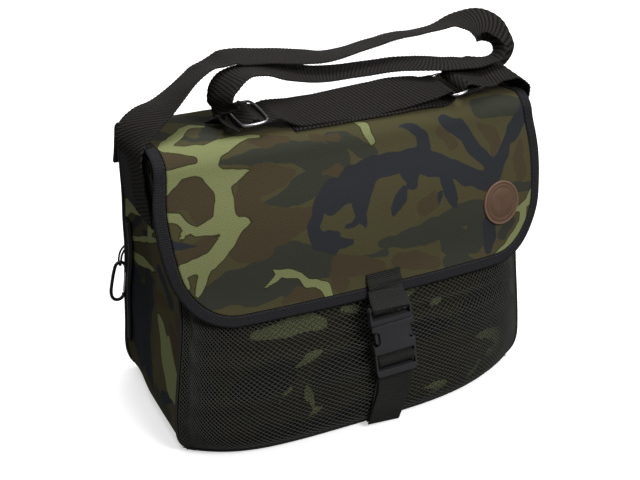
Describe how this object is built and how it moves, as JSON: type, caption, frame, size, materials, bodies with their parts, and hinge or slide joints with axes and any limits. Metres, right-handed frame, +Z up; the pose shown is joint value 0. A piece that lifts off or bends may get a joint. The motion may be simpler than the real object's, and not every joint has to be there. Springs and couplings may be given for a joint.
{
  "type": "training dummy shoulder bag",
  "caption": "Soft shoulder bag for gundog training dummies: camouflage cloth body on a flat bottom, bound flap with webbing buckle, net front pocket and adjustable shoulder strap.",
  "frame": {"origin": "on the ground, under the middle of the bag's flat bottom", "axes": "+X to the right as seen from the front, the front with the net pocket faces -Y, +Z up"},
  "size_m": [0.4506, 0.2544, 0.3723],
  "materials": {
    "camouflage_cloth": "matte woven polyester with a printed woodland pattern",
    "black_cloth": "matte woven",
    "black_webbing": "ribbed webbing, slight sheen",
    "black_net": "open knitted net",
    "black_plastic": "moulded, slight sheen",
    "brown_leather": "smooth, stitched round the edge",
    "dark_steel": "darkened wire, worn bright at the edges",
    "bright_steel": "plain wire"
  },
  "bodies": {
    "bag": {"body_shell": "camouflage_cloth", "flap": "camouflage_cloth", "flap_binding": "black_cloth", "net_pocket": "black_net", "pocket_hem": "black_cloth", "front_piping": "black_cloth", "back_piping": "black_cloth", "anchor_patch_left": "black_cloth", "anchor_patch_right": "black_cloth", "shoulder_strap_long": "black_webbing", "shoulder_strap_short": "black_webbing", "strap_slider": "dark_steel", "strap_ring": "dark_steel", "closure_tab": "black_webbing", "closure_strap": "black_webbing", "buckle_male": "black_plastic", "buckle_female": "black_plastic", "leather_badge": "brown_leather", "rear_zip": "black_cloth", "hook_body": "dark_steel", "hook_cord": "black_webbing"},
    "gate": {"hook_gate": "bright_steel"}
  },
  "joints": [
    {"name": "hook_gate_hinge", "type": "hinge", "parent": "bag", "child": "gate", "pos_m": [-0.2021, 0.0635, 0.1076], "axis": [0, -1, 0], "range_deg": [0, 22], "stiffness_Nm_per_rad": 0.02, "springref_deg": -17.19}
  ]
}
